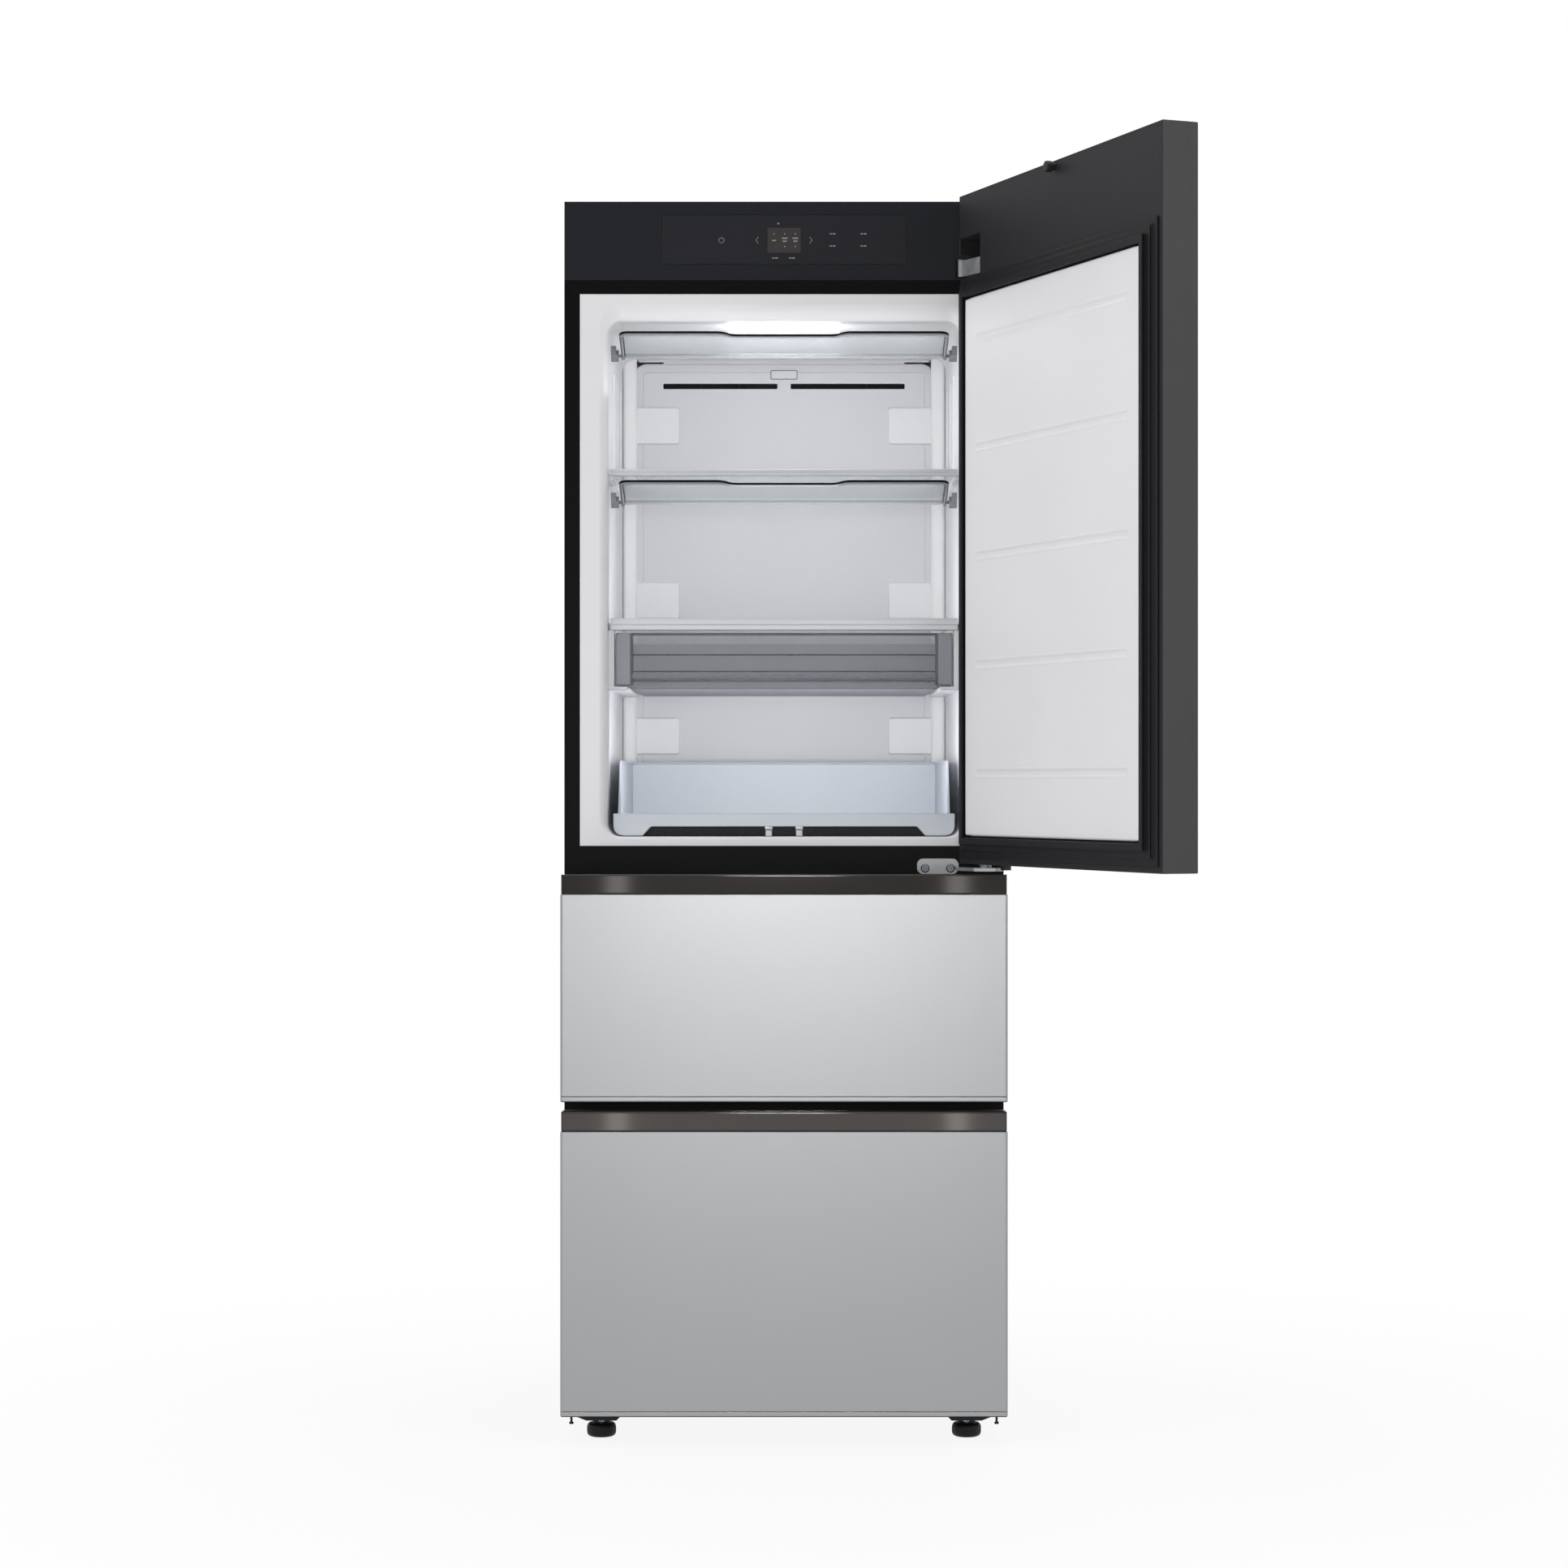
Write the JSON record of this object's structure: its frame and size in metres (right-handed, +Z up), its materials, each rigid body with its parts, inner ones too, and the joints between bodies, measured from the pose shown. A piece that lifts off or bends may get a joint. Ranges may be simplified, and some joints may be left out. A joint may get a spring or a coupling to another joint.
{
  "type": "kimchi refrigerator",
  "caption": "Tall column kimchi refrigerator with one hinged door, shown open over glass shelves, trays and cold-air guards, and silver pull-out drawers below.",
  "frame": {"origin": "on the floor, at the middle of the box round the whole part with its door open as at rest; the middle of the cabinet is at X -0.1088 and its rear face at Y 0.6555 m", "axes": "+Z up, -Y to the front, +X to the viewer's right, the hinge side"},
  "size_m": [0.8816, 1.311, 1.86],
  "materials": {
    "cabinet_shell": "satin black paint",
    "front_frame": "black paint",
    "rear_panel": "grey coated sheet",
    "base_plate": "galvanised grey",
    "insulation": "foam",
    "upper_liner": "white",
    "mid_liner": "white",
    "low_liner": "white",
    "header_fascia": "blue-black satin",
    "touch_panel": "dark glass",
    "duct_panel": "pale grey",
    "lamp_cover": "opal, lit",
    "shelf_glass": "clear",
    "shelf_trim": "pale grey",
    "tray_frame": "white",
    "guard_bracket": "grey",
    "evaporator": "mill finish",
    "fan_shroud": "grey",
    "hinge_top": "bright",
    "hinge_middle": "zinc",
    "hinge_screw": "bright",
    "compressor": "black paint",
    "compressor_mount": "black",
    "condenser": "grey",
    "condenser_shroud": "black",
    "pipework": "copper",
    "machine_cover": "grey",
    "cord_inlet": "black",
    "foot_bracket": "black",
    "rail_fixed": "zinc",
    "door_skin": "satin silver",
    "door_case": "dark grey",
    "door_foam": "foam",
    "door_liner": "white",
    "door_gasket": "black",
    "door_bumper": "black",
    "door_stop": "black",
    "mid_skin": "satin silver",
    "mid_trim": "dark brown-grey",
    "mid_inner": "grey",
    "mid_gasket": "black",
    "mid_bin": "pale grey",
    "mid_rail": "zinc",
    "mid_rail_stage": "zinc",
    "low_skin": "satin silver",
    "low_trim": "dark brown-grey",
    "low_inner": "grey",
    "low_gasket": "black",
    "low_bin": "pale grey",
    "low_rail": "zinc",
    "low_rail_stage": "zinc",
    "guard_upper": "clear with black edge",
    "guard_lower": "clear with black edge",
    "chill_tray": "smoky clear",
    "bottom_bin": "pale blue-grey",
    "evap_fan": "dark grey",
    "condenser_fan": "dark grey",
    "foot_left": "black",
    "foot_right": "black",
    "rear_rollers": "black"
  },
  "bodies": {
    "cabinet": {"cabinet_shell": "cabinet_shell", "front_frame": "front_frame", "rear_panel": "rear_panel", "base_plate": "base_plate", "insulation": "insulation", "upper_liner": "upper_liner", "mid_liner": "mid_liner", "low_liner": "low_liner", "header_fascia": "header_fascia", "touch_panel": "touch_panel", "duct_panel": "duct_panel", "lamp_cover": "lamp_cover", "shelf_glass": "shelf_glass", "shelf_trim": "shelf_trim", "tray_frame": "tray_frame", "guard_bracket": "guard_bracket", "evaporator": "evaporator", "fan_shroud": "fan_shroud", "hinge_top": "hinge_top", "hinge_middle": "hinge_middle", "hinge_screw": "hinge_screw", "compressor": "compressor", "compressor_mount": "compressor_mount", "condenser": "condenser", "condenser_shroud": "condenser_shroud", "pipework": "pipework", "machine_cover": "machine_cover", "cord_inlet": "cord_inlet", "foot_bracket": "foot_bracket", "rail_fixed": "rail_fixed"},
    "door": {"door_skin": "door_skin", "door_case": "door_case", "door_foam": "door_foam", "door_liner": "door_liner", "door_gasket": "door_gasket", "door_bumper": "door_bumper", "door_stop": "door_stop"},
    "mid_drawer": {"mid_skin": "mid_skin", "mid_trim": "mid_trim", "mid_inner": "mid_inner", "mid_gasket": "mid_gasket", "mid_bin": "mid_bin", "mid_rail": "mid_rail"},
    "mid_stage": {"mid_rail_stage": "mid_rail_stage"},
    "low_drawer": {"low_skin": "low_skin", "low_trim": "low_trim", "low_inner": "low_inner", "low_gasket": "low_gasket", "low_bin": "low_bin", "low_rail": "low_rail"},
    "low_stage": {"low_rail_stage": "low_rail_stage"},
    "upper_guard": {"guard_upper": "guard_upper"},
    "lower_guard": {"guard_lower": "guard_lower"},
    "chill_tray": {"chill_tray": "chill_tray"},
    "bottom_bin": {"bottom_bin": "bottom_bin"},
    "evap_fan": {"evap_fan": "evap_fan"},
    "condenser_fan": {"condenser_fan": "condenser_fan"},
    "foot_left": {"foot_left": "foot_left"},
    "foot_right": {"foot_right": "foot_right"},
    "rear_rollers": {"rear_rollers": "rear_rollers"}
  },
  "joints": [
    {"name": "door_hinge", "type": "hinge", "parent": "cabinet", "child": "door", "pos_m": [0.19125, -0.05547, 1.3], "axis": [0, 0, 1], "range_deg": [-111, 9]},
    {"name": "mid_drawer_slide", "type": "slide", "parent": "cabinet", "child": "mid_drawer", "axis": [0, -1, 0], "range_m": [0, 0.42]},
    {"name": "mid_stage_slide", "type": "slide", "parent": "cabinet", "child": "mid_stage", "axis": [0, -1, 0], "range_m": [0, 0.21]},
    {"name": "low_drawer_slide", "type": "slide", "parent": "cabinet", "child": "low_drawer", "axis": [0, -1, 0], "range_m": [0, 0.42]},
    {"name": "low_stage_slide", "type": "slide", "parent": "cabinet", "child": "low_stage", "axis": [0, -1, 0], "range_m": [0, 0.21]},
    {"name": "upper_guard_pivot", "type": "hinge", "parent": "cabinet", "child": "upper_guard", "pos_m": [-0.10875, 0.11353, 1.64], "axis": [1, 0, 0], "range_deg": [0, 104]},
    {"name": "lower_guard_pivot", "type": "hinge", "parent": "cabinet", "child": "lower_guard", "pos_m": [-0.10875, 0.11353, 1.415], "axis": [1, 0, 0], "range_deg": [0, 104]},
    {"name": "chill_tray_slide", "type": "slide", "parent": "cabinet", "child": "chill_tray", "axis": [0, -1, 0], "range_m": [0, 0.3]},
    {"name": "bottom_bin_slide", "type": "slide", "parent": "cabinet", "child": "bottom_bin", "axis": [0, -1, 0], "range_m": [0, 0.32]},
    {"name": "evap_fan_spin", "type": "hinge", "parent": "cabinet", "child": "evap_fan", "pos_m": [-0.10875, 0.53553, 1.383], "axis": [0, 1, 0], "continuous": true},
    {"name": "condenser_fan_spin", "type": "hinge", "parent": "cabinet", "child": "condenser_fan", "pos_m": [-0.05775, 0.55403, 0.1215], "axis": [1, 0, 0], "continuous": true},
    {"name": "foot_left_turn", "type": "hinge", "parent": "cabinet", "child": "foot_left", "pos_m": [-0.38375, 0.00653, 0.01], "axis": [0, 0, 1], "continuous": true},
    {"name": "foot_right_turn", "type": "hinge", "parent": "cabinet", "child": "foot_right", "pos_m": [0.16625, 0.00653, 0.01], "axis": [0, 0, 1], "continuous": true},
    {"name": "roller_spin", "type": "hinge", "parent": "cabinet", "child": "rear_rollers", "pos_m": [0.17625, 0.60853, 0.015], "axis": [1, 0, 0], "continuous": true}
  ],
  "couplings": [
    {"joint": "mid_stage_slide", "follows": "mid_drawer_slide", "ratio": 0.5},
    {"joint": "low_stage_slide", "follows": "low_drawer_slide", "ratio": 0.5}
  ]
}
